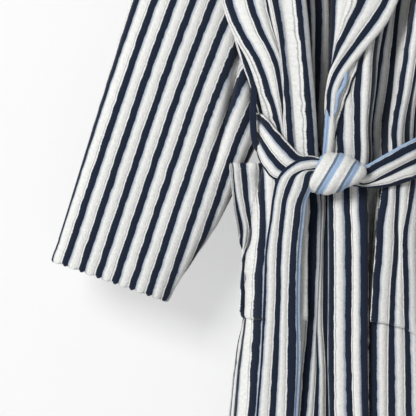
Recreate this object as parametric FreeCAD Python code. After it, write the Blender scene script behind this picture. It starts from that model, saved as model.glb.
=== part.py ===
# A belted shawl-collar bathrobe hanging from the loop at its back neck, in millimetres.
# +Z is up, +X is the wearer's left and the front faces -Y. The origin is the underside of
# the hanging loop's top, where a hook carries the robe.
import FreeCAD
import Part
import os
from FreeCAD import Vector

os.makedirs("parts", exist_ok=True)

# Driving dimensions.
CLOTH = 3.5            # thickness of the terry cloth
GAP = 1.0              # clear space between two layers of cloth
LENGTH = 1170.0        # from the loop to the bottom hem
BELT_WIDTH = 54.0
BELT_THICK = 4.5
BELT_FRONT_Z = -500.0  # the belt's centre line at the knot
BELT_SIDE_Z = -441.0   # and at the side seams and the back
FRONT_BAND = 55.0      # width of the collar band down each front edge
SEAM_GAP = 0.5         # clear space where two panels are sewn edge to edge
ARMHOLE_GAP = 2.0      # clear space between the sleeve's head and the armhole
BODY_Y = -50.0         # the body tube's middle, from front to back
BACK_NECK_Z = -12.0    # the seam between the back panel and the collar
COLLAR_TOP_Z = 22.0
NECK_HALF = 92.0       # half the width of the neck seam
COLLAR_HALF = 128.0    # half the width of the collar's fall at the shoulders
FRONT_X = -20.0        # the fronts meet here: the robe hangs a little twisted
LAP_OVER = 3.0         # the upper front's edge, left of that line
LAP_UNDER = 22.0       # how far the lower front runs past that line
FAR = 400.0            # longer than any local feature

# The body tube: height, half width and half depth of its sections, from neck to hem.
BODY = [
    (COLLAR_TOP_Z, 84.0, 55.0),
    (-4.0, 92.0, 57.0),
    (-24.0, 166.0, 62.0),
    (-46.0, 234.0, 66.0),
    (-120.0, 226.0, 76.0),
    (-223.0, 204.0, 80.0),
    (-320.0, 178.0, 76.0),
    (-366.0, 147.0, 70.0),
    (-404.0, 128.0, 64.0),
    (-475.0, 119.0, 60.0),
    (-530.0, 156.0, 72.0),
    (-620.0, 163.0, 80.0),
    (-735.0, 158.0, 82.0),
    (-889.0, 176.0, 90.0),
    (-LENGTH, 208.0, 104.0),
]
SHOULDER_Z = -60.0     # above this the cloth lies flat, so that its thickness is upright

# The armhole: its top and bottom in the front view, on the wearer's right.
ARMHOLE_TOP = (-227.0, -40.0)
ARMHOLE_LOW = (-152.0, -365.0)

# The sleeve's sections on the wearer's right: the outer and the underarm end of each
# one's long axis in the front view, and its half depth.
SLEEVE = [
    ((-228.0, -42.0), (-157.0, -366.0), 48.0),
    ((-282.0, -60.0), (-156.0, -400.0), 50.0),
    ((-316.0, -150.0), (-155.0, -440.0), 50.0),
    ((-365.0, -314.0), (-160.0, -495.0), 47.0),
    ((-415.0, -478.0), (-210.0, -588.0), 43.0),
    ((-465.0, -642.0), (-282.0, -706.0), 38.0),
]


def body_solid(offset):
    """The body tube filled in, grown outwards by an offset that may depend on height."""
    wires = []
    for z, half_width, half_depth in BODY:
        grow = offset(z)
        height = z + grow if z > SHOULDER_Z else z
        centre = Vector(0, BODY_Y, height)
        major = centre + Vector(half_width + grow, 0, 0)
        minor = centre + Vector(0, half_depth + grow, 0)
        wires.append(Part.Wire(Part.Ellipse(major, minor, centre).toShape()))
    return Part.makeLoft(wires, True, True)


def skin(inner, outer):
    """A shell round the body between two constant offsets, open at the neck."""
    _, half_width, half_depth = BODY[0]
    base = Vector(0, BODY_Y, 0)
    neck_edge = Part.Ellipse(
        base + Vector(half_width + inner, 0, 0), base + Vector(0, half_depth + inner, 0), base
    )
    neck_bore = Part.Face(Part.Wire(neck_edge.toShape())).extrude(Vector(0, 0, FAR))
    shell = body_solid(lambda z: outer).cut(body_solid(lambda z: inner))
    return shell.cut(neck_bore)


def prism(points, y_low, y_high):
    """A front-view outline carried from one depth to another."""
    corners = [Vector(x, y_low, z) for x, z in points]
    face = Part.Face(Part.makePolygon(corners + [corners[0]]))
    return face.extrude(Vector(0, y_high - y_low, 0))


def front_of(points):
    return prism(points, BODY_Y - FAR, BODY_Y - SEAM_GAP / 2)


def back_of(points):
    return prism(points, BODY_Y + SEAM_GAP / 2, BODY_Y + FAR)


def mirrored(points):
    return [(-x, z) for x, z in points]


def one_solid(shape):
    """The main solid of a boolean's result, without any crumb cut loose beside it."""
    return max(shape.Solids, key=lambda solid: solid.Volume)


def armhole_x(z):
    """The armhole seam on the wearer's right, as a straight line in the front view."""
    (top_x, top_z), (low_x, low_z) = ARMHOLE_TOP, ARMHOLE_LOW
    return top_x + (low_x - top_x) * (z - top_z) / (low_z - top_z)


def side_outline(sign):
    """The outline of one half of the body, out to the armhole and the side seam."""
    low = ARMHOLE_LOW[1]
    points = [
        (0.0, FAR),
        (armhole_x(FAR), FAR),
        (armhole_x(low), low),
        (-FAR, low - GAP),
        (-FAR, -2 * LENGTH),
        (0.0, -2 * LENGTH),
    ]
    return [(-sign * x, z) for x, z in points]


def back_panel():
    """The whole back, from side seam to side seam, below the neck seam."""
    cloth = skin(0, CLOTH)
    halves = [cloth.common(back_of(side_outline(sign))) for sign in (-1, 1)]
    whole = halves[0].fuse(halves[1])
    above_neck = Part.makeBox(2 * FAR, 2 * FAR, FAR, Vector(-FAR, -FAR, BACK_NECK_Z))
    return one_solid(whole.cut(above_neck))


def front_panel(sign):
    """One front, from the side seam to the seam of its collar band."""
    edge = FRONT_X + (LAP_UNDER - FRONT_BAND if sign < 0 else FRONT_BAND + LAP_OVER + GAP)
    inside = [
        (0.0, FAR),
        (sign * NECK_HALF, FAR),
        (sign * NECK_HALF, 0.0),
        (edge, BELT_SIDE_Z),
        (edge, -2 * LENGTH),
        (-sign * FAR, -2 * LENGTH),
        (-sign * FAR, FAR),
    ]
    cloth = skin(0, CLOTH).common(front_of(side_outline(sign)))
    return one_solid(cloth.cut(prism(inside, -FAR, FAR)))


def collar(sign):
    """One front of the shawl collar: the lapel and the band down to the hem."""
    layer = CLOTH + GAP
    over = skin(layer, layer + CLOTH)
    if sign < 0:
        lapel = [(-88.0, 0.0), (-70.0, -90.0), (-56.0, -223.0), (-45.0, -455.0)]
        lapel += [(-53.0, -500.0), (-80.0, -500.0), (-124.0, -404.0), (-188.0, -223.0)]
        lapel += [(-180.0, -110.0)]
    else:
        lapel = [(88.0, 0.0), (62.0, -90.0), (16.0, -223.0), (-14.0, -330.0), (-28.0, -400.0)]
        lapel += [(FRONT_X + LAP_OVER, -500.0), (FRONT_X + LAP_OVER + FRONT_BAND, -500.0)]
        lapel += [(12.0, -404.0), (30.0, -330.0), (96.0, -223.0), (150.0, -110.0)]
    lapel += [(sign * COLLAR_HALF, -40.0), (sign * COLLAR_HALF, FAR), (sign * 60.0, FAR)]
    shape = over.common(front_of(lapel))
    if sign < 0:
        left, right = FRONT_X + LAP_UNDER - FRONT_BAND, FRONT_X + LAP_UNDER
        top_z = BELT_SIDE_Z - 10.0
        low = [(left, top_z), (right, top_z), (right, -2 * LENGTH), (left, -2 * LENGTH)]
        band = skin(0, CLOTH).common(front_of(low))
        joint = [(left + 1.0, top_z), (left + 7.0, top_z)]
        joint += [(left + 7.0, BELT_FRONT_Z), (left + 1.0, BELT_FRONT_Z)]
        shape = shape.fuse(band).fuse(skin(0, layer + CLOTH).common(front_of(joint)))
    else:
        left, right = FRONT_X + LAP_OVER, FRONT_X + LAP_OVER + FRONT_BAND
        top_z = BELT_FRONT_Z + 1.0
        low = [(left, top_z), (right, top_z), (right, -2 * LENGTH), (left, -2 * LENGTH)]
        shape = shape.fuse(over.common(front_of(low)))
    return one_solid(shape)


def back_collar(sign):
    """Half of the collar behind the neck, from the shoulder: its stand, fold and fall."""
    layer = CLOTH + GAP
    over = skin(layer, layer + CLOTH)
    fall = [(sign * SEAM_GAP / 2, FAR), (sign * COLLAR_HALF, FAR), (sign * COLLAR_HALF, -40.0)]
    fall += [(sign * 90.0, -62.0), (sign * SEAM_GAP / 2, -70.0)]
    shape = over.common(prism(fall, BODY_Y + SEAM_GAP, BODY_Y + FAR))
    stand = [(sign * SEAM_GAP / 2, FAR), (sign * FAR, FAR)]
    stand += [(sign * FAR, BACK_NECK_Z + SEAM_GAP), (sign * SEAM_GAP / 2, BACK_NECK_Z + SEAM_GAP)]
    neck = skin(0, CLOTH).common(prism(stand, BODY_Y + 8.0, BODY_Y + FAR))
    fold = [(x, max(z, COLLAR_TOP_Z - CLOTH)) for x, z in stand]
    top = skin(0, layer + CLOTH).common(prism(fold, BODY_Y + 8.0, BODY_Y + FAR))
    shape = shape.fuse(neck).fuse(top)
    return one_solid(shape)


POCKET_TOP_Z = -484.0
POCKET_LOW_Z = -734.0
POCKET_SIDE_X = 148.0  # the pocket's outer edge, from the middle of the robe
POCKET_NEAR_X = (63.0, 58.0)  # the right and the left pocket's inner edge
POCKET_GAPE = 24.0     # how far the pocket's mouth stands out from the front


def pocket(sign):
    """A patch pocket: its lower part lies on the front, and its mouth stands open."""
    def gape(z):
        share = (z - POCKET_LOW_Z) / (POCKET_TOP_Z - POCKET_LOW_Z)
        return POCKET_GAPE * max(0.0, min(share, 1.0))

    inner = CLOTH + GAP
    if sign > 0:
        inner += CLOTH + GAP
    outer_body = body_solid(lambda z: inner + CLOTH + gape(z))
    cloth = outer_body.cut(body_solid(lambda z: inner + gape(z)))
    near = POCKET_NEAR_X[0] if sign < 0 else POCKET_NEAR_X[1]
    outline = [
        (sign * near, POCKET_TOP_Z),
        (sign * POCKET_SIDE_X, POCKET_TOP_Z),
        (sign * POCKET_SIDE_X, POCKET_LOW_Z),
        (sign * near, POCKET_LOW_Z),
    ]
    sheet = cloth.common(front_of(outline))
    hem = [(x, z if z < POCKET_TOP_Z else POCKET_LOW_Z + CLOTH) for x, z in outline]
    foot = skin(CLOTH + SEAM_GAP, inner + CLOTH).common(front_of(hem))
    return one_solid(sheet.fuse(foot))


# How far the belt has dipped towards the knot, as a share, along the front.
BELT_DIP = [(-145.0, 0.0), (-80.0, 0.5), (-20.0, 1.0), (40.0, 0.95), (119.0, 0.5), (150.0, 0.3)]


def belt_band(inner, outer, half_width):
    """A band round the waist that dips to the knot in front."""
    cloth = skin(inner, outer)
    dip = BELT_SIDE_Z - BELT_FRONT_Z
    line = [(x, BELT_SIDE_Z - dip * share) for x, share in BELT_DIP]
    upper = [(x, z + half_width) for x, z in line]
    lower = [(x, z - half_width) for x, z in reversed(line)]
    front = cloth.common(prism(upper + lower, BODY_Y - FAR, BODY_Y))
    level = [(-FAR, BELT_SIDE_Z + half_width), (FAR, BELT_SIDE_Z + half_width)]
    level += [(FAR, BELT_SIDE_Z - half_width), (-FAR, BELT_SIDE_Z - half_width)]
    back = cloth.common(prism(level, BODY_Y, BODY_Y + FAR))
    return front.fuse(back)


BELT_IN = 2 * (CLOTH + GAP)


def belt_waist():
    """The belt's length round the waist, open only inside the knot."""
    return one_solid(belt_band(BELT_IN, BELT_IN + BELT_THICK, BELT_WIDTH / 2))


STRAP = 2.5            # thickness of the belt loops' tape
STRAP_WIDTH = 10.0
BELT_LOOP_TOP_Z = -408.0
BELT_LOOP_LOW_Z = (-480.0, -500.0)  # on the right side and on the left one


def belt_loop(sign):
    """A strap sewn to the side seam above and below the belt."""
    top, low = BELT_LOOP_TOP_Z, BELT_LOOP_LOW_Z[0 if sign < 0 else 1]
    inner = BELT_IN + BELT_THICK + GAP
    outer = inner + STRAP
    strap_half = STRAP_WIDTH / 2
    band = skin(inner, outer)
    ends = skin(CLOTH + SEAM_GAP, outer)
    side = sign * BODY[9][1] / 2
    outline = [(side, top), (sign * FAR, top), (sign * FAR, low), (side, low)]
    strap = band.common(prism(outline, BODY_Y - strap_half, BODY_Y + strap_half))
    for z_high, z_low in ((top, top - 3.0), (low + 3.0, low)):
        end = [(side, z_high), (sign * FAR, z_high), (sign * FAR, z_low), (side, z_low)]
        strap = strap.fuse(ends.common(prism(end, BODY_Y - strap_half, BODY_Y + strap_half)))
    return one_solid(strap)


KNOT_BACK_Y = -133.5   # just in front of the belt's front stretch
KNOT_SIZE = (94.0, 44.0, 62.0)
KNOT_CENTRE_X = FRONT_X + 6.0


def belt_knot():
    """The knot as a rounded block in front of the waist."""
    wide, deep, tall = KNOT_SIZE
    corner = Vector(KNOT_CENTRE_X - wide / 2, KNOT_BACK_Y - deep, BELT_FRONT_Z - tall / 2)
    block = Part.makeBox(wide, deep, tall, corner)
    return block.makeFillet(deep / 2 - 4.0, block.Edges)


TAIL_TOP_Z = BELT_FRONT_Z - KNOT_SIZE[2] / 2 - 6.0
TAIL_FRONT_Y = -158.0
TAIL_PATH = [(-82.0, TAIL_TOP_Z), (-97.0, -607.0), (-101.0, -767.0), (-107.0, -889.0)]


def belt_tail(front_y, end_z):
    """One hanging end of the belt: a flat band that drifts a little to the side."""
    line = TAIL_PATH + [(-109.0, end_z)]
    half = BELT_WIDTH / 2 - 1.0
    left = [(x - half, z) for x, z in line]
    right = [(x + half, z) for x, z in reversed(line)]
    return prism(left + right, front_y, front_y + BELT_THICK)


def sleeve_wire(sign, section, shrink):
    """One elliptical section of the sleeve, drawn in by the cloth's thickness or not."""
    (outer_x, outer_z), (inner_x, inner_z), depth = section
    outer = Vector(-sign * outer_x, BODY_Y, outer_z)
    inner = Vector(-sign * inner_x, BODY_Y, inner_z)
    centre = (outer + inner) * 0.5
    reach = outer - inner
    half = reach.Length / 2 - shrink
    reach.normalize()
    minor = centre + Vector(0, depth - shrink, 0)
    return Part.Wire(Part.Ellipse(centre + reach * half, minor, centre).toShape())


def sleeve(sign):
    """A sleeve open at the armhole and at the hem, clear of the body all the way."""
    outside = [sleeve_wire(sign, section, 0.0) for section in SLEEVE]
    inside = [sleeve_wire(sign, section, CLOTH) for section in SLEEVE]
    faces = []
    for wires in (outside, inside):
        for upper, lower in zip(wires, wires[1:]):
            faces.append(Part.makeRuledSurface(upper.Edges[0], lower.Edges[0]))
    for end in (0, -1):
        faces.append(Part.Face(outside[end]).cut(Part.Face(inside[end])).Faces[0])
    shell = Part.makeShell(faces)
    shell.sewShape()
    tube = Part.makeSolid(Part.makeShell(shell.Faces))
    if tube.Volume < 0:
        tube.reverse()
    (top_x, top_z), (low_x, low_z) = ARMHOLE_TOP, ARMHOLE_LOW
    body_side = [(top_x - ARMHOLE_GAP, top_z + 60.0), (top_x - ARMHOLE_GAP, top_z)]
    body_side += [(low_x - ARMHOLE_GAP, low_z), (0.0, low_z), (0.0, top_z + 60.0)]
    if sign > 0:
        body_side = mirrored(body_side)
    return one_solid(tube.cut(prism(body_side, BODY_Y - FAR, BODY_Y + FAR)))


LOOP_HALF = 28.0       # half the space between the loop's sewn ends
LOOP_STRAP = 2.0       # the strap's thickness
LOOP_DEPTH = 8.0       # the strap's width, from front to back
LOOP_LOW_Z = BACK_NECK_Z - 12.0
LOOP_END = 6.0         # width, length and height of the ends sewn to the neck
LOOP_REACH = 40.0
LOOP_FOOT = 5.0


def hanging_loop():
    """A cloth strap that rises to the hook between its two ends, sewn to the neck."""
    front_y = -LOOP_DEPTH / 2

    def arch(half, top):
        left = Vector(-half, front_y, LOOP_LOW_Z)
        right = Vector(half, front_y, LOOP_LOW_Z)
        crown = Vector(0, front_y, top)
        bend = Part.Arc(left, crown, right).toShape()
        return Part.Face(Part.Wire([bend, Part.makeLine(right, left)]))

    outer = arch(LOOP_HALF + LOOP_STRAP, LOOP_STRAP).extrude(Vector(0, LOOP_DEPTH, 0))
    inner = arch(LOOP_HALF, 0.0).extrude(Vector(0, LOOP_DEPTH, 0))
    strap = outer.cut(inner)
    inside_neck = body_solid(lambda z: -0.3)
    for side in (-1, 1):
        outer_x = side * (LOOP_HALF + LOOP_STRAP)
        corner = Vector(min(outer_x, outer_x - side * LOOP_END), 0, LOOP_LOW_Z)
        end = Part.makeBox(LOOP_END, LOOP_REACH, LOOP_FOOT, corner)
        strap = strap.fuse(end.common(inside_neck))
    return one_solid(strap)


PARTS = {
    "back_panel": back_panel(),
    "right_front_panel": front_panel(-1),
    "left_front_panel": front_panel(1),
    "right_collar": collar(-1),
    "left_collar": collar(1),
    "right_back_collar": back_collar(-1),
    "left_back_collar": back_collar(1),
    "right_sleeve": sleeve(-1),
    "left_sleeve": sleeve(1),
    "right_pocket": pocket(-1),
    "left_pocket": pocket(1),
    "belt_waist": belt_waist(),
    "belt_knot": belt_knot(),
    "belt_front_tail": belt_tail(TAIL_FRONT_Y, -960.0),
    "belt_rear_tail": belt_tail(TAIL_FRONT_Y + BELT_THICK + GAP, -900.0),
    "right_belt_loop": belt_loop(-1),
    "left_belt_loop": belt_loop(1),
    "hanging_loop": hanging_loop(),
}

for name, shape in PARTS.items():
    shape.exportStep("parts/" + name + ".step")
    box = shape.BoundBox
    print(name, "valid" if shape.isValid() else "INVALID", len(shape.Solids), "solid,",
          round(shape.Volume / 1000.0, 1), "cm3,",
          [round(value, 1) for value in (box.XMin, box.YMin, box.ZMin)],
          [round(value, 1) for value in (box.XMax, box.YMax, box.ZMax)])
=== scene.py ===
import math

import bpy
import numpy as np
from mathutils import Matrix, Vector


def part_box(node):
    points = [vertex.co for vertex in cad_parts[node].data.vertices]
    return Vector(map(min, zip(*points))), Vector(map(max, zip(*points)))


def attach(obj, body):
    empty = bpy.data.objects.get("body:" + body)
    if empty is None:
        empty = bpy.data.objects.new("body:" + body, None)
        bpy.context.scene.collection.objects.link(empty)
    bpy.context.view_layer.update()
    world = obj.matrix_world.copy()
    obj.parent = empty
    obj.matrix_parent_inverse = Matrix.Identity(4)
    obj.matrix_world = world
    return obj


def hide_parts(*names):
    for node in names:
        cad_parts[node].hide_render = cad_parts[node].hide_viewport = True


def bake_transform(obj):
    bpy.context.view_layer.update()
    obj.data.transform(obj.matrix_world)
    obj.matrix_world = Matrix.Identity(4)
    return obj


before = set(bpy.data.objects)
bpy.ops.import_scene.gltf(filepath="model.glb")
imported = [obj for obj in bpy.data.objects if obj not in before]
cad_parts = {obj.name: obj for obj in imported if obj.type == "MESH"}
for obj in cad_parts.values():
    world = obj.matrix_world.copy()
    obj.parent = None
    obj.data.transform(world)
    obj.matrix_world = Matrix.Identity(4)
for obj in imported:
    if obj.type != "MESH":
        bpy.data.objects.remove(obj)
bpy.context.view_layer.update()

MM = 0.001

# ------------ the striped cloth
# One repeat of the stripes is PERIOD wide: a navy rib, a pale blue line, a wide white rib
# and a narrow white rib, with a groove between ribs. Painted shade darkens the pale blue line
# and the white beside it, and paints a grey line at the groove.
PERIOD = 28.0
NAVY_END = 10.0
PALE_END = 12.2
GROOVE = 25.0
CLOTH = 3.4            # thickness under the ribs
HEM = 19.0             # from a hemmed edge to its stitches
POCKET_HEM = 45.0
FACING = 2.6           # thickness of the facings
STRAND = 2.0           # and of the narrow strips at the lapel's seam
RIBS = ((0.0, NAVY_END, 1.3), (NAVY_END, GROOVE, 2.1), (GROOVE, PERIOD, 1.1))
COLUMN_MARKS = (0.0, 0.7, 2.2, 5.0, 7.8, 9.3, 10.0, 10.8, 12.8, 15.8, 19.2, 22.2, 24.2, 25.0, 25.6, 27.4)

BODY_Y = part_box("right_sleeve")[0][1] / MM / 2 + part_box("right_sleeve")[1][1] / MM / 2
HEM_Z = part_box("back_panel")[0][2] / MM


def relief(u):
    """How far the ribs stand up from the grooves, in millimetres, across the stripes."""
    s = np.mod(u, PERIOD)
    height = np.zeros_like(s)
    for start, end, top in RIBS:
        inside = (s >= start) & (s < end)
        off = (2 * s - start - end) / (end - start)
        height = np.where(inside, top * (1 - off * off), height)
    return height


def columns(start, end):
    """Places across the cloth where the mesh has a column: every rib's edges and crown."""
    first = math.floor(start / PERIOD)
    last = math.ceil(end / PERIOD)
    marks = [k * PERIOD + m for k in range(first, last) for m in COLUMN_MARKS]
    kept = [m for m in marks if start + 0.3 < m < end - 0.3]
    return np.array([start] + kept + [end])


def curve(keys, values, at):
    """A smooth curve through values at keys, read at the places given (Catmull-Rom)."""
    keys = np.asarray(keys, float)
    values = np.asarray(values, float)
    at = np.clip(np.asarray(at, float), keys[0], keys[-1])
    if len(keys) == 2:
        slopes = np.repeat((values[1:] - values[:1]) / (keys[1] - keys[0]), 2, axis=0)
    else:
        slopes = np.gradient(values, keys, axis=0)
    i = np.clip(np.searchsorted(keys, at, side="right") - 1, 0, len(keys) - 2)
    h = keys[i + 1] - keys[i]
    t = (at - keys[i]) / h
    shape = (-1,) + (1,) * (values.ndim - 1)
    t = t.reshape(shape)
    h = h.reshape(shape)
    a = (1 + 2 * t) * (1 - t) ** 2
    b = t * (1 - t) ** 2
    c = t * t * (3 - 2 * t)
    d = t * t * (t - 1)
    return a * values[i] + b * h * slopes[i] + c * values[i + 1] + d * h * slopes[i + 1]


def net(u_keys, rows, us, vs):
    """A smooth surface through rows of points. Each row is (v, [(x, y, z), ...])."""
    v_keys = [v for v, _ in rows]
    points = np.array([p for _, p in rows], float)
    across = curve(u_keys, points.transpose(1, 0, 2), us).transpose(1, 0, 2)
    return curve(v_keys, across, vs)


def normals(grid, wrap):
    """Unit normals of a grid of points, on its outer side."""
    if wrap:
        across = np.roll(grid, -1, 1) - np.roll(grid, 1, 1)
    else:
        across = np.gradient(grid, axis=1)
    down = np.gradient(grid, axis=0)
    n = np.cross(down, across)
    return n / np.maximum(np.linalg.norm(n, axis=2, keepdims=True), 1e-9)


def pile_noise(x, y, seed):
    """A smooth unevenness between -1 and 1, the same each time."""
    total = np.zeros(np.broadcast(x, y).shape)
    for k in range(1, 5):
        a = 1.7 * seed + 2.3 * k
        total = total + np.sin(x * (0.9 + 0.35 * k) + 2.1 * np.sin(y * 0.7 * k + a) + a) / k
    return total / 2.1


def cloth_mesh(name, us, vs, grid, wrap=False, thick=CLOTH, turned=(), hem=HEM, ribbed=True):
    """A closed sheet of cloth: ribbed face, plain back and rounded edges.

    us and vs are millimetres of cloth and grid holds a point for each pair. turned names
    the edges with a turned hem, top, low, left or right. The UV map is in metres of cloth.
    """
    nv, nu = grid.shape[:2]
    n = normals(grid, wrap)
    us = np.broadcast_to(us, (nv, nu))
    vs = np.broadcast_to(np.asarray(vs, float).reshape(nv, -1), (nv, nu))
    rise = relief(us) if ribbed else np.zeros((nv, nu))
    half = np.full((nv, nu), thick / 2)
    near = {
        "top": np.abs(vs - vs[:1]),
        "low": np.abs(vs - vs[-1:]),
        "left": np.abs(us - us[:, :1]),
        "right": np.abs(us - us[:, -1:]),
    }
    for side in turned:
        fat = np.clip(1 - np.abs(near[side] - 9.0) / 11.0, 0, 1)
        half = half + 1.1 * np.sqrt(fat)
        stitch = np.exp(-(((near[side] - hem) / 1.4) ** 2))
        rise = rise - 0.9 * stitch
    sides = ("top", "low") if wrap else tuple(near)
    edge = np.ones((nv, nu))
    for side in sides:
        edge = edge * np.sqrt(np.clip(0.12 + near[side] / 2.2, 0, 1))
    face = grid + n * ((half + rise) * edge)[..., None]
    back = grid - n * ((half + 0.25 * rise) * edge)[..., None]
    points = np.concatenate([face.reshape(-1, 3), back.reshape(-1, 3)]) * MM
    i = np.arange(nv * nu).reshape(nv, nu)
    if wrap:
        i = np.concatenate([i, i[:, :1]], axis=1)
    o = nv * nu
    cells = np.stack([i[:-1, :-1], i[:-1, 1:], i[1:, 1:], i[1:, :-1]], -1).reshape(-1, 4)
    quads = [cells[:, ::-1], cells + o]
    strips = [(i[0, :-1], i[0, 1:]), (i[-1, 1:], i[-1, :-1])]
    if not wrap:
        strips += [(i[1:, 0], i[:-1, 0]), (i[:-1, -1], i[1:, -1])]
    for a, b in strips:
        quads.append(np.stack([a, b, b + o, a + o], -1))
    faces = np.concatenate(quads)
    mesh = bpy.data.meshes.new(name)
    mesh.vertices.add(len(points))
    mesh.vertices.foreach_set("co", points.astype(np.float32).ravel())
    mesh.loops.add(faces.size)
    mesh.loops.foreach_set("vertex_index", faces.ravel().astype(np.int32))
    mesh.polygons.add(len(faces))
    mesh.polygons.foreach_set("loop_start", np.arange(0, faces.size, 4, dtype=np.int32))
    mesh.polygons.foreach_set("use_smooth", np.ones(len(faces), bool))
    slots = np.zeros(len(faces), np.int32)
    slots[len(quads[0]) : len(quads[0]) + len(quads[1])] = 1
    mesh.polygons.foreach_set("material_index", slots)
    mesh.update(calc_edges=True)
    uv = np.stack([us, vs], -1).reshape(-1, 2) * MM
    uv = np.concatenate([uv, uv])[faces.ravel()].reshape(-1, 4, 2)
    if wrap:
        # The last column closes on the first, so its loops take the next cloth position.
        span = uv[:, :, 0].max(1) - uv[:, :, 0].min(1)
        whole = (us[0, -1] - us[0, 0]) * MM
        torn = span > abs(whole) / 2
        seam = uv[torn][:, :, 0]
        first = (seam - seam.mean(1, keepdims=True)) * whole < 0
        uv[torn, :, 0] = np.where(first, seam + whole, seam)
    layer = mesh.uv_layers.new(name="cloth")
    layer.data.foreach_set("uv", uv.astype(np.float32).ravel())
    mesh.validate()
    piece = bpy.data.objects.new(name, mesh)
    bpy.context.scene.collection.objects.link(piece)
    return piece


# ------------ materials
def ramp_stops(ramp, stops):
    """Colours of a ramp, from (place, colour) pairs."""
    elements = ramp.color_ramp.elements
    while len(elements) > 1:
        elements.remove(elements[-1])
    elements[0].position = stops[0][0]
    elements[0].color = stops[0][1] + (1.0,)
    for place, colour in stops[1:]:
        element = elements.new(place)
        element.color = colour + (1.0,)


NAVY = (0.0075, 0.0125, 0.027)
WHITE = (0.66, 0.66, 0.642)
# Painted shade: GROOVE_SHADE is a dark grey line painted into the white where the groove between two ribs
# lies.
GROOVE_SHADE = (0.26, 0.27, 0.28)
# The cloth's pale blue line beside each navy rib, darkened with painted shade; SHADED_WHITE after it is white
# darkened by painted shade at the foot of the white rib.
PALE_BLUE_AND_SHADE = (0.27, 0.32, 0.41)
SHADED_WHITE = (0.40, 0.425, 0.455)
SKY_BLUE = (0.30, 0.41, 0.58)
GREY_BLUE = (0.115, 0.14, 0.19)
FUZZ_WIDTH = 0.0022    # how far a stripe's edge frays, and how far it wanders, in metres
WANDER_WIDTH = 0.0034


def cloth_material(name, stripes, roughness=0.93, sheen=0.18):
    """Velour terry: woven stripes with fuzzy edges, an uneven pile and a soft sheen."""
    material = bpy.data.materials.new(name)
    material.use_nodes = True
    nodes = material.node_tree.nodes
    links = material.node_tree.links
    shader = nodes["Principled BSDF"]
    shader.inputs["Roughness"].default_value = roughness
    shader.inputs["Specular IOR Level"].default_value = 0.18
    shader.inputs["Sheen Weight"].default_value = sheen
    shader.inputs["Sheen Roughness"].default_value = 0.45
    uv = nodes.new("ShaderNodeUVMap")
    uv.uv_map = "cloth"

    def noise(scale, detail, rough=None):
        """Unevenness at a scale, in repeats for each metre of cloth."""
        node = nodes.new("ShaderNodeTexNoise")
        node.inputs["Scale"].default_value = scale
        node.inputs["Detail"].default_value = detail
        if rough:
            node.inputs["Roughness"].default_value = rough
        links.new(uv.outputs["UV"], node.inputs["Vector"])
        return node.outputs["Fac"]

    def sum_node(operation, terms):
        """A Math node whose terms are sockets or plain numbers."""
        node = nodes.new("ShaderNodeMath")
        node.operation = operation
        for socket, term in zip(node.inputs, terms):
            if isinstance(term, float):
                socket.default_value = term
            else:
                links.new(term, socket)
        return node.outputs[0]

    # The stripes' edges are fuzzy and wander a little.
    fuzz = noise(420.0, 3.0, 0.7)
    split = nodes.new("ShaderNodeSeparateXYZ")
    links.new(uv.outputs["UV"], split.inputs[0])
    shift = sum_node("MULTIPLY_ADD", (fuzz, FUZZ_WIDTH, split.outputs["X"]))
    centre = sum_node("SUBTRACT", (shift, (FUZZ_WIDTH + WANDER_WIDTH) / 2))
    wavy = sum_node("MULTIPLY_ADD", (noise(42.0, 1.0), WANDER_WIDTH, centre))
    phase = sum_node("FRACT", (sum_node("DIVIDE", (wavy, PERIOD * MM)),))
    colours = nodes.new("ShaderNodeValToRGB")
    ramp_stops(colours, stripes)
    links.new(phase, colours.inputs["Fac"])

    # Pile tips catch the light unevenly, and the cloth is a little mottled.
    both = sum_node("ADD", (noise(480.0, 2.0), noise(190.0, 4.0)))
    spread = nodes.new("ShaderNodeMapRange")
    spread.inputs["From Min"].default_value = 0.7
    spread.inputs["From Max"].default_value = 1.3
    spread.inputs["To Min"].default_value = 0.86
    spread.inputs["To Max"].default_value = 1.08
    links.new(both, spread.inputs["Value"])
    tint = nodes.new("ShaderNodeMix")
    tint.data_type = "RGBA"
    tint.blend_type = "MULTIPLY"
    tint.inputs["Factor"].default_value = 1.0
    links.new(colours.outputs["Color"], tint.inputs["A"])
    links.new(spread.outputs["Result"], tint.inputs["B"])
    links.new(tint.outputs["Result"], shader.inputs["Base Color"])

    bump = nodes.new("ShaderNodeBump")
    bump.inputs["Strength"].default_value = 0.6
    bump.inputs["Distance"].default_value = 0.0016
    links.new(both, bump.inputs["Height"])
    links.new(bump.outputs["Normal"], shader.inputs["Normal"])
    return material


def at(mm):
    return mm / PERIOD


# Across one repeat: navy, the pale blue line with painted shade, white with painted shade, white, a painted
# shade line at the groove, white, navy.
FACE_STRIPES = [
    (0.0, NAVY),
    (at(NAVY_END - 0.2), NAVY),
    (at(NAVY_END + 0.5), PALE_BLUE_AND_SHADE),
    (at(PALE_END), SHADED_WHITE),
    (at(PALE_END + 2.6), WHITE),
    (at(GROOVE - 1.0), WHITE),
    (at(GROOVE), GROOVE_SHADE),
    (at(GROOVE + 1.0), WHITE),
    (at(PERIOD - 0.5), WHITE),
    (1.0, NAVY),
]
BACK_STRIPES = [
    (0.0, WHITE),
    (at(0.5), GREY_BLUE),
    (at(3.6), GREY_BLUE),
    (at(4.6), SKY_BLUE),
    (at(11.5), SKY_BLUE),
    (at(12.5), WHITE),
    (at(GROOVE), WHITE),
    (1.0, WHITE),
]
TAPE_STRIPES = [(0.0, NAVY), (0.5, NAVY), (1.0, NAVY)]

face_cloth = cloth_material("striped terry face", FACE_STRIPES)
back_cloth = cloth_material("striped terry back", BACK_STRIPES)
REVERSE = (back_cloth, back_cloth)      # both sides of a piece seen only from its reverse
tape_cloth = cloth_material("navy tape", TAPE_STRIPES, sheen=0.2)


def dress(piece, nodes, body, materials=None):
    """Gives a finished piece its cloth, hides the CAD part it stands for and hangs it on its body."""
    for material in materials or (face_cloth, face_cloth):
        piece.data.materials.append(material)
    if nodes:
        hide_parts(*nodes)
    if body:
        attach(piece, body)
    return piece


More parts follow.
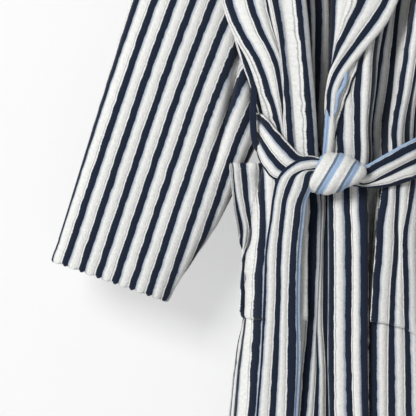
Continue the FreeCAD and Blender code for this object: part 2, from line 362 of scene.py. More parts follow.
# ------------ the body's general shape
# Height, half width and half depth of the hanging body. LINE_X is where the two fronts
# meet; the front views below are measured from that line.
LINE_X = -20.0
BODY = [
    (30.0, 84.0, 55.0), (-4.0, 92.0, 57.0), (-24.0, 160.0, 60.0), (-46.0, 226.0, 64.0),
    (-120.0, 222.0, 74.0), (-223.0, 204.0, 78.0), (-320.0, 178.0, 72.0), (-366.0, 150.0, 66.0),
    (-404.0, 130.0, 58.0), (-441.0, 125.0, 53.0), (-490.0, 124.0, 54.0), (-530.0, 133.0, 62.0),
    (-580.0, 141.0, 72.0), (-630.0, 149.0, 77.0), (-690.0, 150.0, 79.0), (-735.0, 152.0, 80.0),
    (-775.0, 162.0, 82.0), (-831.0, 169.0, 86.0), (-889.0, 175.5, 88.0), (-1000.0, 189.0, 94.0),
    (HEM_Z, 205.0, 100.0),
]
ROUND = 2.7
BODY_KEYS = [-row[0] for row in BODY]


def body_half(z):
    both = curve(BODY_KEYS, [row[1:] for row in BODY], -np.asarray(z, float).ravel())
    shape = np.shape(z)
    return both[:, 0].reshape(shape), both[:, 1].reshape(shape)


def front_y(x, z):
    """Depth of the body's front at a place in the front view."""
    half, deep = body_half(z)
    share = np.clip(np.abs(x) / half, 0, 1)
    return BODY_Y - deep * (1 - share**ROUND) ** (1 / ROUND)


def front_grid(us, zs, u_keys, rows, lift=0.0, collar=False):
    """Cloth on the front: rows hold a height, x from the front line for each of the cloth
    positions u_keys and, if need be, how far each place lies behind the front's surface."""
    keys = [-row[0] for row in rows]
    xs = np.array([row[1] for row in rows], float)
    back = np.array([row[2] if len(row) > 2 else [0.0] * len(u_keys) for row in rows], float)
    both = np.stack([xs, back], -1)
    across = curve(u_keys, both.transpose(1, 0, 2), us).transpose(1, 0, 2)
    placed = curve(keys, across, -np.asarray(zs, float))
    z = np.broadcast_to(np.asarray(zs, float)[:, None], placed.shape[:2])
    # Towards the neck the collar comes back to the middle of the robe.
    home = np.clip((z + 223.0) / 209.0, 0, 1) ** 1.3 if collar else 0.0
    x = placed[..., 0] + LINE_X * (1 - home)
    return np.stack([x, front_y(x, z) + placed[..., 1] - lift, z], -1)


def rumple(grid, us, vs, seed, size=2.0):
    """Slow waves in hanging cloth."""
    grid[..., 1] += size * pile_noise(us[None, :] / 45.0, np.asarray(vs)[:, None] / 130.0, seed)
    return grid


def steps(start, end, pitch):
    return np.linspace(start, end, max(2, int(round(abs(end - start) / pitch)) + 1))


def round_side(us, grid, edge, way):
    """Cloth positions that keep the stripes' true width where cloth turns round the side."""
    step = np.linalg.norm(np.diff(grid, axis=1), axis=2)
    along = np.concatenate([np.zeros((len(grid), 1)), np.cumsum(step, axis=1)], axis=1)
    k = int(np.argmin(np.abs(us - edge)))
    turned = us[k] + along - along[:, k : k + 1]
    beyond = (np.arange(len(us)) - k) * way > 0
    return np.where(beyond[None, :], turned, us[None, :])


def hang(name, node, us, vs, grid, turned=(), held="hung", slot="striped_terry", body="robe",
         materials=None, thick=CLOTH, hem=HEM):
    """Makes and dresses one sheet of cloth. Its flat size is its own mean width and
    length along the cloth, so it isn't a size known apart from this shape.
    """
    piece = cloth_mesh(name, us, vs, grid, turned=turned, thick=thick, hem=hem)
    dress(piece, (node,), body, materials)
    return piece


def front_piece(name, node, u_keys, rows, pitch, lift=0.0, collar=False, waves=None, **how):
    """Cloth on the front from its first row to its last. waves holds a seed and a size."""
    us = columns(u_keys[0], u_keys[-1])
    zs = steps(rows[0][0], rows[-1][0], pitch)
    grid = front_grid(us, zs, u_keys, rows, lift=lift, collar=collar)
    if waves:
        rumple(grid, us, zs, *waves)
    hang(name, node, us, -zs, grid, **how)


# ------------ sleeves
# Sections of the wearer's right sleeve, from the front line: how far down the sleeve, the
# ends at the outer fold and at the underarm, and the half depth.
SLEEVE_ROWS = [
    (0.0, (-204.0, -40.0), (-128.0, -352.0), 33.0),
    (55.0, (-258.0, -58.0), (-122.0, -388.0), 37.0),
    (140.0, (-289.0, -130.0), (-118.5, -432.0), 38.0),
    (335.0, (-346.0, -316.0), (-134.0, -486.0), 35.0),
    (505.0, (-397.0, -484.0), (-188.0, -592.0), 31.0),
    (595.0, (-423.0, -570.0), (-228.0, -651.0), 29.0),
    (672.0, (-445.5, -642.0), (-263.0, -706.5), 27.0),
]
SECTION = 3.0          # exponent of the section's flattened oval
STRIPE_LEAN = math.radians(18.9)
STRIPE_START = 208.2   # brings a navy stripe onto the outer fold below the shoulder
STRIPE_EASE = 0.9736   # the sleeves are cut a little wider than their stripes


def sleeve_section(outer, inner, depth, places):
    """Points of one section at places from -1 to 1, evenly spaced along the cloth."""
    angle = np.linspace(0.0, math.pi, 241)
    power = 2.0 / SECTION
    along = -np.sign(np.cos(angle)) * np.abs(np.cos(angle)) ** power
    deep = np.abs(np.sin(angle)) ** power
    centre = (outer + inner) / 2
    reach = (inner - outer) / 2
    half = np.linalg.norm(reach)
    step = np.hypot(np.diff(along) * half, np.diff(deep) * depth)
    length = np.concatenate([[0.0], np.cumsum(step)])
    share = np.abs(places) * length[-1]
    a = np.interp(share, length, along)
    d = np.interp(share, length, deep) * np.where(places > 0, -1.0, 1.0)
    x = centre[0] + reach[0] * a
    z = centre[1] + reach[1] * a
    lean = (reach[0] * math.cos(STRIPE_LEAN) - reach[1] * math.sin(STRIPE_LEAN)) / half
    start = outer[0] * math.cos(STRIPE_LEAN) - outer[1] * math.sin(STRIPE_LEAN)
    u = STRIPE_START + STRIPE_EASE * (start + places * length[-1] * lean)
    return x, BODY_Y + depth * d, z, u


def sleeve(name, sign, node):
    """A wide sleeve: a flattened tube, its stripes parallel to the fold, with a turned hem."""
    keys = [row[0] for row in SLEEVE_ROWS]
    vs = np.concatenate([steps(0.0, 640.0, 6.4), steps(644.0, keys[-1], 2.4)])
    outer = curve(keys, [row[1] for row in SLEEVE_ROWS], vs)
    inner = curve(keys, [row[2] for row in SLEEVE_ROWS], vs)
    depth = curve(keys, [[row[3]] for row in SLEEVE_ROWS], vs)[:, 0]
    count = 176
    s = np.linspace(-1, 1, 2 * count, endpoint=False)
    grid = np.zeros((len(vs), len(s), 3))
    us = np.zeros((len(vs), len(s)))
    for r in range(len(vs)):
        x, y, z, us[r] = sleeve_section(outer[r], inner[r], depth[r], s)
        grid[r] = np.stack([x + LINE_X, y, z], -1)
    front = grid[..., 1] < BODY_Y
    x, z = grid[..., 0] - LINE_X, grid[..., 2]
    # A fold runs down the front beside the underarm.
    fold_x = -145.0 + 0.22 * (z + 320.0)
    window = np.clip((z + 510.0) / 130.0, 0, 1) * np.clip((-190.0 - z) / 60.0, 0, 1)
    valley = np.exp(-(((x - fold_x) / 8.0) ** 2)) * window
    grid[..., 1] += np.where(front, 20.0 * valley, 0.0)
    # Slow unevenness of hanging cloth.
    wave = 2.2 * pile_noise(us / 42.0, vs[:, None] / 150.0, 1.0)
    ease = np.clip(1 - np.abs(s) ** 6, 0, 1) * np.clip(np.abs(s) * 9, 0, 1)
    grid[..., 1] += wave * ease * np.clip(vs[:, None] / 90.0, 0, 1)
    # The ribs are a little uneven along the hem.
    ramp = np.clip((vs[:, None] - 648.0) / 24.0, 0, 1)
    hem = (4.6 * np.clip(relief(us) / 1.3, 0, 1) - 2.6) * ramp
    grid[..., 0] -= 0.30 * hem
    grid[..., 2] -= 0.95 * hem
    grid[..., 0] *= -sign
    if sign > 0:
        grid = grid[:, ::-1]
        us = us[:, ::-1]
    piece = cloth_mesh(name, us, vs, grid, wrap=True, turned=("low",), hem=31.0)
    dress(piece, [node], None)
    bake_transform(piece)


sleeve("right_sleeve_cloth", -1, "right_sleeve")
sleeve("left_sleeve_cloth", 1, "left_sleeve")

# ------------ the wearer's right front
RIGHT_U = [-128, -112, -102, -84, -74, -56, -28, 0, 10, 28, 38, 56, 68]
RIGHT_ROWS = [
    (-60.0, [-203, -189, -178, -157, -148, -135, -118, -102, -97, -90, -86, -80, -76]),
    (-223.0, [-166, -160, -154, -142, -136, -122, -104, -86, -80, -70, -65, -58, -54]),
    (-319.0, [-140, -134, -128, -118, -112, -100, -86, -72, -66, -58, -54, -48, -44]),
    (-366.0, [-122, -118, -113, -104, -98, -88, -75, -62, -57, -49, -45, -40, -36]),
    (-404.0, [-109.5, -108, -104, -95, -90, -80, -67, -54, -49, -42, -38, -32, -28]),
    (-441.0, [-105, -106, -102, -92, -86, -76, -62, -48, -43, -36, -32, -25, -20]),
    (-484.0, [-103, -104, -101, -92, -84, -72, -56, -38, -29, -21, -17, -9, -4],
     [40, 16, 6, 0, 0, 0, 0, 0, 0, 4, 5, 12, 18]),
    (-541.0, [-112, -113, -110, -100, -92, -78, -55, -30, -18.5, -16, -11.7, -5, 1],
     [50, 20, 8, 0, 0, 0, 4, 8, 10, 14, 15, 20, 28]),
    (-607.0, [-122, -124, -120, -108, -100, -84, -59, -32.7, -19.5, -16.7, -14.4, -8.7, -2],
     [60, 22, 8, 0, 0, 0, 4, 8, 10, 14, 15, 20, 28]),
    (-690.0, [-126, -129.5, -125, -114, -104, -88, -61, -33.5, -22.5, -19.5, -17.8, -10, -3],
     [64, 22, 8, 0, 0, 0, 4, 8, 10, 14, 15, 20, 28]),
    (-737.0, [-128, -134, -130, -118.4, -106.5, -91, -62, -33.8, -24.7, -21, -19, -10, -3],
     [66, 18, 6, 0, 0, 0, 4, 8, 10, 14, 15, 20, 28]),
    (-813.0, [-141, -146.8, -139.5, -123, -112, -95, -68, -40.7, -30.4, -20.8, -16.7, -6, 0],
     [70, 20, 6, 0, 0, 0, 2, 5, 6, 10, 12, 18, 26]),
    (-889.0, [-149, -155.5, -145.8, -128.7, -117.3, -101, -74, -46.4, -37.3, -24.7, -17.8, -6, 1],
     [74, 22, 6, 0, 0, 0, 0, 2, 4, 8, 10, 17, 24]),
    (HEM_Z, [-176, -182, -171, -152, -141, -122, -90, -58, -48, -31, -22, -7, 2],
     [80, 24, 8, 0, 0, 0, 4, -4, -2, 0, 4, 10, 16]),
]
us = columns(RIGHT_U[0], RIGHT_U[-1])
zs = steps(-60.0, HEM_Z, 9.0)
grid = rumple(front_grid(us, zs, RIGHT_U, RIGHT_ROWS), us, zs, 2.0, 1.6)
us = round_side(us, grid, -102.0, -1)
hang("right_front_cloth", "right_front_panel", us, -zs, grid, turned=("low",))

# ------------ the wearer's left front
LEFT_U = [-46, -28, -18, 0, 10, 28, 38, 56, 66, 76, 84, 94, 112, 122, 140, 150, 168, 190, 210, 232]
LEFT_ROWS = [
    (-60.0, [88, 92, 95, 101, 104, 110, 114, 120, 124, 128, 131, 135, 142, 147, 156, 162, 174, 192, 216, 242]),
    (-150.0, [68, 74, 78, 86, 90, 99, 104, 112, 117, 121, 125, 131, 145, 152, 164, 170, 183, 198, 208, 216],
     [0, 0, 0, 0, 0, 0, 4, 12, 6, 8, 10, 12, 12, 0, 0, 0, 0, 8, 18, 34]),
    (-223.0, [44, 52, 57, 67, 74, 85, 91, 97, 103, 107, 111, 119, 135, 142, 156, 163, 177, 194, 202, 207],
     [0, 0, 0, 0, 0, 2, 14, 34, 40, 44, 48, 54, 34, 4, 0, 0, 0, 8, 18, 34]),
    (-303.0, [18, 28, 36, 50, 57, 70, 77, 83, 90, 97, 104, 113, 123.5, 130, 143, 151, 164, 174, 178, 182],
     [0, 0, 0, 0, 0, 2, 20, 52, 56, 60, 60, 58, 12, 2, 0, 2, 2, 8, 18, 34]),
    (-363.0, [4, 17, 26, 41, 51.5, 67, 73.5, 76, 83, 91, 98, 108, 114.5, 121, 133, 137, 145, 152, 156, 160],
     [0, 0, 0, 0, 0, 2, 22, 56, 60, 62, 60, 48, 3, 0, 0, 4, 4, 8, 18, 34]),
    (-423.0, [0, 15, 24, 41.5, 51, 62.5, 67, 70, 75, 83, 91, 101, 105, 111.5, 123, 131, 138, 143, 145, 145],
     [0, 0, 0, -2, 0, 2, 22, 54, 56, 58, 54, 32, 2, -2, 0, 6, 4, 8, 20, 40]),
    (-484.0, [0, 14, 24, 41.5, 51, 62.5, 67, 70, 75, 83, 90, 99, 105, 112, 125, 133, 138, 142, 144, 144],
     [0, 0, 0, 0, 0, 2, 18, 42, 40, 42, 34, 12, 2, 0, 0, 4, 4, 8, 20, 40]),
    (-541.0, [8, 16, 24, 34, 38, 44, 47, 53, 59, 74, 84, 93, 106, 112, 127, 133, 142, 149, 152, 153],
     [24, 20, 16, 10, 10, 10, 10, 16, 40, 46, 14, 0, 0, 0, 0, 0, 2, 8, 22, 48]),
    (-607.0, [8, 16, 22, 30, 34, 40, 43, 50, 56, 68, 77, 86, 103, 111, 119, 126, 140, 156, 163, 165],
     [28, 24, 20, 14, 14, 14, 14, 18, 44, 48, 14, 0, 0, 0, 0, 0, 0, 8, 26, 56]),
    (-737.0, [8, 16, 22, 30, 34, 40, 43, 49, 54, 61, 68, 78, 96, 105, 121, 129, 145, 160, 168, 171],
     [30, 26, 20, 14, 14, 14, 14, 18, 44, 44, 12, 0, 0, 0, 0, 0, 0, 8, 30, 66]),
    (-889.0, [8, 16, 22, 30, 34, 40, 43, 48, 53, 60, 67, 77, 94.5, 105, 122.5, 132, 150, 173, 188, 195],
     [30, 26, 20, 14, 14, 14, 14, 18, 40, 38, 8, 0, 0, 0, 0, 0, 0, 6, 30, 70]),
    (HEM_Z, [6, 14, 20, 28, 32, 38, 42, 47, 52, 58, 64, 74, 94, 104, 124, 134, 156, 184, 206, 224],
     [30, 26, 20, 14, 14, 14, 14, 14, 18, 14, 4, 0, 0, 0, 0, 0, 4, 0, 26, 78]),
]
us = columns(LEFT_U[0], LEFT_U[-1])
grid = rumple(front_grid(us, zs, LEFT_U, LEFT_ROWS), us, zs, 3.0, 1.4)
us = round_side(us, grid, 168.0, 1)
hang("left_front_cloth", "left_front_panel", us, -zs, grid, turned=("low",))


def shoulder(name, node, u_keys, xs):
    """The top of a front, from its chest over the shoulder seam to the back."""
    us = columns(u_keys[0], u_keys[-1])
    x = curve(u_keys, xs, us) + LINE_X
    ridge = SHOULDER_Z - SHOULDER_DROP * (np.abs(x) - 92.0) / 134.0
    deep = BODY_Y - front_y(x, np.full(x.shape, SHOULDER_FOOT)) + 1.5
    turn = np.linspace(0.0, math.pi, 30)
    grid = np.zeros((len(turn), len(us), 3))
    grid[..., 0] = x
    grid[..., 1] = BODY_Y - deep * np.cos(turn)[:, None]
    grid[..., 2] = SHOULDER_FOOT + (ridge - SHOULDER_FOOT) * np.sin(turn)[:, None] ** 0.8
    hang(name, node, us, turn * 60.0, grid)


SHOULDER_Z = -3.0      # where the shoulder seam meets the neck
SHOULDER_DROP = 42.0   # and how much lower it meets the sleeve
SHOULDER_FOOT = -66.0
shoulder("right_shoulder_cloth", "right_front_panel",
         [-150, -128, -112, -84, -56, -28, 0, 28, 56, 68],
         [-206, -196, -184, -157, -135, -118, -102, -90, -80, -76])
shoulder("left_shoulder_cloth", "left_front_panel",
         [28, 56, 84, 112, 140, 168, 190, 210, 232, 262],
         [110, 120, 131, 142, 156, 174, 192, 208, 226, 246])

# ------------ the back
BACK_ROWS = steps(-30.0, HEM_Z, 9.0)
BACK_HALF_WIDTH = 292.0
us = columns(-BACK_HALF_WIDTH, BACK_HALF_WIDTH)


def back_grid(us, zs):
    """The back hangs round behind the body, gathered into pleats under the belt."""
    grid = np.zeros((len(zs), len(us), 3))
    angle = np.linspace(0, math.pi, 721)
    power = 2 / ROUND
    for r, z in enumerate(zs):
        half, deep = (float(v[0]) for v in body_half(np.array([z])))
        if z > -404:
            top = armhole(z)
            half = min(half, top) if z > -366 else half
        px = -half * np.sign(np.cos(angle)) * np.abs(np.cos(angle)) ** power
        py = deep * np.abs(np.sin(angle)) ** power
        length = np.concatenate([[0], np.cumsum(np.hypot(np.diff(px), np.diff(py)))])
        share = (us - us[0]) / (us[-1] - us[0]) * length[-1]
        x = np.interp(share, length, px)
        y = np.interp(share, length, py)
        fullness = max(us[-1] - us[0], 1.0) / length[-1]
        depth = 9.5 * math.sqrt(max(fullness * fullness - 1.0, 0.0)) + 1.5
        wave = np.sin(us / 42.0 * math.pi + 0.6 * math.sin(z / 170.0)) + 0.35 * np.sin(us / 67.0 * math.pi)
        ease = np.clip((half - np.abs(x)) / 40.0, 0, 1)
        nx = np.gradient(y)
        ny = -np.gradient(x)
        norm = np.maximum(np.hypot(nx, ny), 1e-9)
        grid[r, :, 0] = x + wave * depth * ease * nx / norm * -1
        grid[r, :, 1] = BODY_Y + y + wave * depth * ease * ny / norm * -1
        grid[r, :, 2] = z
    return grid


def armhole(z):
    """Half the width between the two armholes at a height."""
    return 227.0 - 75.0 * (-40.0 - z) / 325.0


grid = back_grid(us, BACK_ROWS)
hang("back_cloth", "back_panel", us, -BACK_ROWS, grid[:, ::-1], turned=("low",))

# ------------ the right lapel, in two layers
LAPEL_U = [-6.4, 0, 10, 28, 38, 58]
LAPEL_ROWS = [
    (-24.0, [-112, -108, -102, -90, -84, -72], [4, 0, 0, 0, 0, 0]),
    (-60.0, [-134, -129, -121, -106, -98, -82]),
    (-110.0, [-156, -150.5, -141, -122, -113, -93]),
    (-170.0, [-168, -162, -152, -131, -122, -99]),
    (-223.0, [-170, -163.5, -153, -131, -121.5, -99], [0, 0, 0, 0, 0, 6]),
    (-271.0, [-155, -146, -136, -114, -105, -88], [0, 0, 0, 0, 0, 6]),
    (-319.0, [-130, -118.5, -109, -91, -83, -74], [0, 0, 0, 0, 1, 6]),
    (-367.0, [-112.5, -101, -92, -80, -75, -66], [0, 0, 0, 0, 2, 6]),
    (-404.0, [-103, -88.5, -81, -74, -70, -60], [0, 0, 0, 2, 3, 8]),
    (-443.0, [-84, -77, -73, -69, -65, -55], [2, 2, 2, 4, 6, 8]),
    (-500.0, [-72, -68, -65, -61, -58, -50], [2, 2, 2, 4, 6, 8]),
]
front_piece("right_lapel_cloth", "right_collar", LAPEL_U, LAPEL_ROWS, 6.0, lift=8.5, collar=True,
            waves=(4.0, 1.0), turned=("left",), held="folded")

ROLL_U = [-8, 0, 10, 18, 28, 38, 43, 56]
ROLLED = [0, 0, 0, 6, 0, 0, 4, 20]
ROLL_ROWS = [
    (-14.0, [-98, -95, -91, -88, -84, -80, -78, -74], [0, 0, 0, 0, 0, 0, 4, 20]),
    (-60.0, [-106, -102, -96, -90, -80, -73, -70, -66], [0, 0, 0, 0, 0, 0, 4, 20]),
    (-110.0, [-108, -103, -95, -87, -73, -66, -62, -58], [0, 0, 0, 0, 0, 0, 4, 20]),
    (-170.0, [-104, -98, -89, -80, -62, -54, -50, -47], [0, 0, 0, 2, 0, 0, 4, 20]),
    (-223.0, [-98, -91, -82, -73, -54, -46.5, -42, -40], [0, 0, 0, 5, 0, 0, 4, 20]),
    (-271.0, [-86, -82, -75, -68, -48, -41.5, -37, -35], ROLLED),
    (-319.0, [-77.5, -75, -69.5, -62.5, -43, -37, -33, -31], ROLLED),
    (-367.0, [-70, -70.5, -63.5, -58.5, -39, -32, -28, -27], [2, 0, 0, 6, 0, 0, 4, 20]),
    (-415.0, [-72.5, -67.5, -59.5, -54.5, -35.5, -27, -24, -22], ROLLED),
    (-463.0, [-69, -64, -56, -51, -33, -23.5, -21, -19], ROLLED),
    (-505.0, [-66, -60, -52, -47, -30, -21, -18, -16], ROLLED),
]
front_piece("right_roll_cloth", "right_collar", ROLL_U, ROLL_ROWS, 6.0, lift=15.5, collar=True,
            waves=(5.0, 0.8), held="folded")

# Inside the opening the facing turns back, in shadow.
FACING_U = [0, 10, 28, 38, 52]
TURNED_IN = [18, 26, 36, 44, 52]
FACING_ROWS = [
    (-30.0, [-60, -52, -44, -36, -26], [18, 26, 34, 40, 46]),
    (-120.0, [-52, -42, -34, -25, -10], TURNED_IN),
    (-223.0, [-40, -30, -22, -11, 2], TURNED_IN),
    (-319.0, [-34, -27, -22, -12, 3], TURNED_IN),
    (-415.0, [-28, -24, -20, -16, 2], TURNED_IN),
    (-480.0, [-26, -22, -18, -14, 0], TURNED_IN),
]
front_piece("right_facing_cloth", "right_collar", FACING_U, FACING_ROWS, 10.0, collar=True,
            held="folded", thick=FACING)

# The lower front's band, seen only as a dark strip behind the upper one's edge.
UNDER_U = [-28, -18, 0, 10, 28]
UNDER_ROWS = [
    (-470.0, [-30, -21, -8, 0, 14], [22] * 5),
    (-700.0, [-30, -21, -8, 0, 14], [24] * 5),
    (HEM_Z, [-32, -22, -7, 1, 15], [20] * 5),
]
front_piece("right_band_cloth", "right_collar", UNDER_U, UNDER_ROWS, 12.0, turned=("low",))

# ------------ the left lapel and band
FALL_U = [-14, -4, 0, 10, 28, 38, 54]
FALL_ROWS = [
    (-14.0, [76, 78, 81, 87, 97, 103, 112], [14, 0, 0, 0, 0, 0, 0]),
    (-60.0, [64, 66, 70, 80, 98, 108, 126], [14, 0, 0, 0, 0, 0, 0]),
    (-110.0, [54, 57, 62, 73, 96, 108, 132], [14, 0, 0, 0, 0, 0, 0]),
    (-170.0, [45, 48, 56, 68, 94, 105, 126], [14, 0, 0, 0, 0, 0, 0]),
    (-223.0, [34, 36, 46.5, 59, 85, 95, 111], [14, 0, 0, 0, 0, 0, 0]),
    (-263.0, [24, 22, 27, 38, 60, 72, 91], [14, 0, 0, 0, 0, 0, 0]),
    (-303.0, [14, 10, 11, 17, 31, 41, 58], [18, 6, 2, 0, 0, 0, 0]),
    (-343.0, [8, 5, 4, 3, 5.5, 13, 27], [22, 16, 12, 6, 0, 0, 0]),
    (-363.0, [6, 3, 1, 0, 0, 5, 17], [22, 18, 16, 10, 1, 0, 0]),
    (-393.0, [4, 0, -1, -2, -2.5, 3, 11], [22, 20, 18, 12, 4, 0, 0]),
    (-440.0, [4, 2, 2, 2, 2, 4, 8], [24, 22, 20, 16, 10, 6, 6]),
]
front_piece("left_lapel_cloth", "left_collar", FALL_U, FALL_ROWS, 6.0, lift=12.0, collar=True,
            waves=(6.0, 0.8), turned=("right",), held="folded")

TURN_U = [0, 10, 12, 25, 28]
TURNED_UNDER = [26, 16, 14, 10, 8]
TURN_ROWS = [
    (-30.0, [36, 46, 48, 66, 70], TURNED_UNDER),
    (-110.0, [22, 31, 33, 50, 56], TURNED_UNDER),
    (-170.0, [13, 22, 24, 40, 46], TURNED_UNDER),
    (-223.0, [5, 13, 15, 31, 35], TURNED_UNDER),
    (-271.0, [4, 11, 12, 21, 24], TURNED_UNDER),
    (-303.0, [2, 8, 9, 13, 15], [26, 18, 16, 12, 10]),
    (-343.0, [0, 5, 6, 8, 10], [28, 22, 20, 18, 16]),
]
front_piece("left_facing_cloth", "left_collar", TURN_U, TURN_ROWS, 8.0, lift=4.0, collar=True,
            held="folded", thick=FACING)

TWIST_U = [2.5, 12, 26]
TWIST_ROWS = [
    (-382.0, [-2, 1, 8], [12, 9, 8]),
    (-402.0, [-5.5, 2, 10], [2, 2, 4]),
    (-420.0, [-7, 1.2, 11], [0, 0, 2]),
    (-450.0, [-9, -1.5, 9], [0, 0, 2]),
    (-476.0, [-11, -4, 6], [0, 0, 2]),
    (-512.0, [-11, -4, 6], [6, 6, 6]),
]
front_piece("left_twist_cloth", "left_collar", TWIST_U, TWIST_ROWS, 5.0, lift=11.0,
            waves=(6.5, 0.5), held="folded", materials=REVERSE)

SEAM_U = [12, 26, 28.3, 31]
SEAM_ROWS = [
    (-296.0, [44, 55, 57, 60], [2, 0, 0, 6]),
    (-320.0, [30, 46, 48, 51], [2, 0, 0, 6]),
    (-343.0, [20, 37, 39.5, 43], [2, 0, 0, 6]),
    (-383.0, [11, 23, 26, 29], [2, 0, 0, 6]),
    (-423.0, [6, 11, 13.5, 17], [2, 0, 0, 6]),
    (-452.0, [4, 7, 8.5, 11], [4, 2, 2, 6]),
]
us = columns(SEAM_U[0], SEAM_U[-1])
seam_z = steps(-296.0, -452.0, 5.0)
grid = front_grid(us, seam_z, SEAM_U, SEAM_ROWS, lift=6.0)
grid[..., 0] += 1.2 * np.sin(seam_z[:, None] / 5.0) * np.linspace(0, 1, len(us))[None, :]
hang("left_seam_cloth", "left_collar", us, -seam_z, grid, held="folded", thick=STRAND)

# Beside it the lapel's pale blue reverse shows.
SELVAGE_U = [-2, 3.4, 9]
SELVAGE_ROWS = [
    (-322.0, [18, 28, 36], [12, 2, 2]),
    (-345.0, [13, 23.5, 30.5], [12, 0, 0]),
    (-375.0, [5, 13.5, 20], [12, 0, 0]),
    (-400.0, [-1, 7, 12], [12, 0, 0]),
    (-428.0, [-6, 2, 6], [12, 4, 6]),
]
us = columns(SELVAGE_U[0], SELVAGE_U[-1])
selvage_z = steps(-322.0, -428.0, 4.0)
grid = front_grid(us, selvage_z, SELVAGE_U, SELVAGE_ROWS, lift=13.0)
grid[..., 0] += 1.6 * np.sin(selvage_z / 6.5)[:, None]
hang("left_selvage_cloth", "left_collar", us, -selvage_z, grid, held="folded",
     materials=REVERSE, thick=STRAND)

# The band runs down the upper front's edge; here the stripes are the other way round.
BAND_U = [-31, -28, -18, 0, 10, 12, 28, 38, 44]
BAND_EDGES = [10, 2, 0, 0, 0, 0, 0, 8, 18]
BAND_ROWS = [
    (-494.0, [61, 60, 48, 34, 24, 22, 9, 3, 2], [10, 2, 0, 0, 0, 0, 0, 6, 14]),
    (-541.0, [61.5, 60.3, 47.8, 33.6, 23.8, 21.5, 8, 1.5, 2], BAND_EDGES),
    (-607.0, [62, 61, 49.8, 35.4, 25.6, 23, 8.5, 1.8, 2], BAND_EDGES),
    (-703.0, [61.5, 60.5, 49.8, 35.6, 26, 23.5, 8.5, 1.5, 2], BAND_EDGES),
    (-799.0, [61, 60, 50, 35, 26, 23.5, 8, 0.5, 1], [10, 2, 0, 0, 0, 0, 0, 7, 16]),
    (-889.0, [62, 61, 52, 37, 28, 25, 8.5, 2.4, 3], [8, 2, 0, 0, 0, 0, 0, 6, 14]),
    (HEM_Z, [64, 62, 52, 35, 25, 23, 7, 0, 1], [8, 2, 0, 0, 0, 0, 0, 4, 12]),
]
us = columns(BAND_U[0], BAND_U[-1])
band_z = steps(-494.0, HEM_Z, 8.0)
grid = rumple(front_grid(us, band_z, BAND_U, BAND_ROWS, lift=8.0), us, band_z, 7.0, 1.0)
hang("left_band_cloth", "left_collar", us[::-1], -band_z, grid[:, ::-1], turned=("low",))

# ------------ pockets
POCKET_U = [-143, -140, -130, -112, -102, -84, -74, -56, -28, -3]
POCKET_ROWS = [
    (-484.0, [-157.5, -157, -154.3, -142, -132.5, -112.5, -102.5, -86, -60, -37],
     [-60, -58, -56, -56, -56, -54, -42, -34, -28, -22]),
    (-523.0, [-154.3, -153.8, -150.5, -137.8, -129.4, -111.2, -102, -86, -60, -33],
     [-48, -46, -43, -41, -40, -36, -30, -26, -22, -16]),
    (-559.0, [-150.8, -150, -144, -132.8, -126, -109.7, -100.8, -85, -59, -32.5],
     [-38, -34, -31, -29, -28, -25, -22, -19, -17, -13]),
    (-591.0, [-144.8, -144.2, -137.4, -127, -121.2, -110, -100, -85, -59, -33.3],
     [-30, -26, -22, -19, -17, -15, -15, -14, -13, -11]),
    (-612.0, [-141.5, -141.2, -138, -130, -123.5, -111.5, -100.8, -85, -59, -33.7],
     [-16, -18, -18, -16, -14, -13, -12, -12, -11, -10]),
    (-632.0, [-130, -131, -133.5, -135.3, -131, -113.5, -102, -86, -60, -34],
     [10, 4, -4, -12, -12, -11, -11, -11, -10, -9]),
    (-658.0, [-128, -130, -133, -137.2, -134.3, -116, -104.2, -87, -60.5, -34],
     [12, 6, -2, -10, -11, -10, -10, -10, -9, -8]),
    (-695.0, [-128, -131, -134, -139.4, -133.3, -118, -105.6, -88, -61, -34],
     [12, 8, 0, -9, -9, -9, -9, -9, -8, -8]),
    (-726.0, [-128, -131, -134, -139, -132.7, -118.4, -105.8, -88, -61.5, -34],
     [12, 8, 0, -8, -8, -8, -8, -8, -8, -8]),
    (-736.0, [-126, -128, -131, -135, -131, -118.2, -106, -88, -61.5, -34],
     [12, 8, 2, -5, -5, -5, -5, -5, -5, -5]),
]
us = columns(POCKET_U[0], POCKET_U[-1])
pocket_z = steps(-484.0, -736.0, 4.0)
grid = front_grid(us, pocket_z, POCKET_U, POCKET_ROWS)
grid[..., 1] += 0.8 * pile_noise(us[None, :] / 30.0, pocket_z[:, None] / 60.0, 8.0)
crest = np.clip(relief(us) / 1.4, 0, 1)
mouth = np.clip((pocket_z[:, None] + 496.0) / 12.0, 0, 1)
grid[..., 2] += (2.2 * crest[None, :] - 1.0) * mouth
hang("right_pocket_cloth", "right_pocket", us, -pocket_z, grid,
     turned=("top", "low", "right"), hem=POCKET_HEM)

LEFT_POCKET_U = [81, 84, 94, 112, 122, 140, 150, 168, 190, 212]
LEFT_POCKET_ROWS = [
    (0.0, [92, 94, 101, 112, 120, 136, 141, 146, 147, 146],
     [-18, -20, -22, -22, -22, -22, -19, -20, 0, 22]),
    (-34.0, [86.5, 88, 96, 107, 114, 130, 138, 147, 150, 150],
     [-16, -18, -20, -20, -20, -20, -19, -18, -14, 10]),
    (-61.0, [82.5, 84, 93, 106, 112, 126.8, 133, 148, 156, 158],
     [-12, -15, -17, -17, -15, -18, -17, -17, -20, 8]),
    (-100.0, [76.5, 78, 86.5, 103.2, 109.5, 119.5, 126, 143, 158, 162],
     [-10, -13, -14, -14, -10, -14, -14, -14, -14, -6]),
    (-123.0, [75, 76.8, 85.8, 103, 110.5, 118, 125, 141, 157, 166],
     [-10, -12, -13, -13, -8, -13, -13, -14, -14, -25]),
    (-180.0, [70.5, 72.3, 81, 98.5, 106.5, 119, 127, 143, 160, 170],
     [-9, -11, -12, -12, -10, -12, -12, -12, -12, -22]),
    (-252.0, [66.5, 68.3, 77, 95.5, 103.5, 120.5, 127.3, 145, 164, 175],
     [-6, -8, -8, -8, -8, -8, -8, -8, -8, -6]),
]
us = columns(LEFT_POCKET_U[0], LEFT_POCKET_U[-1])
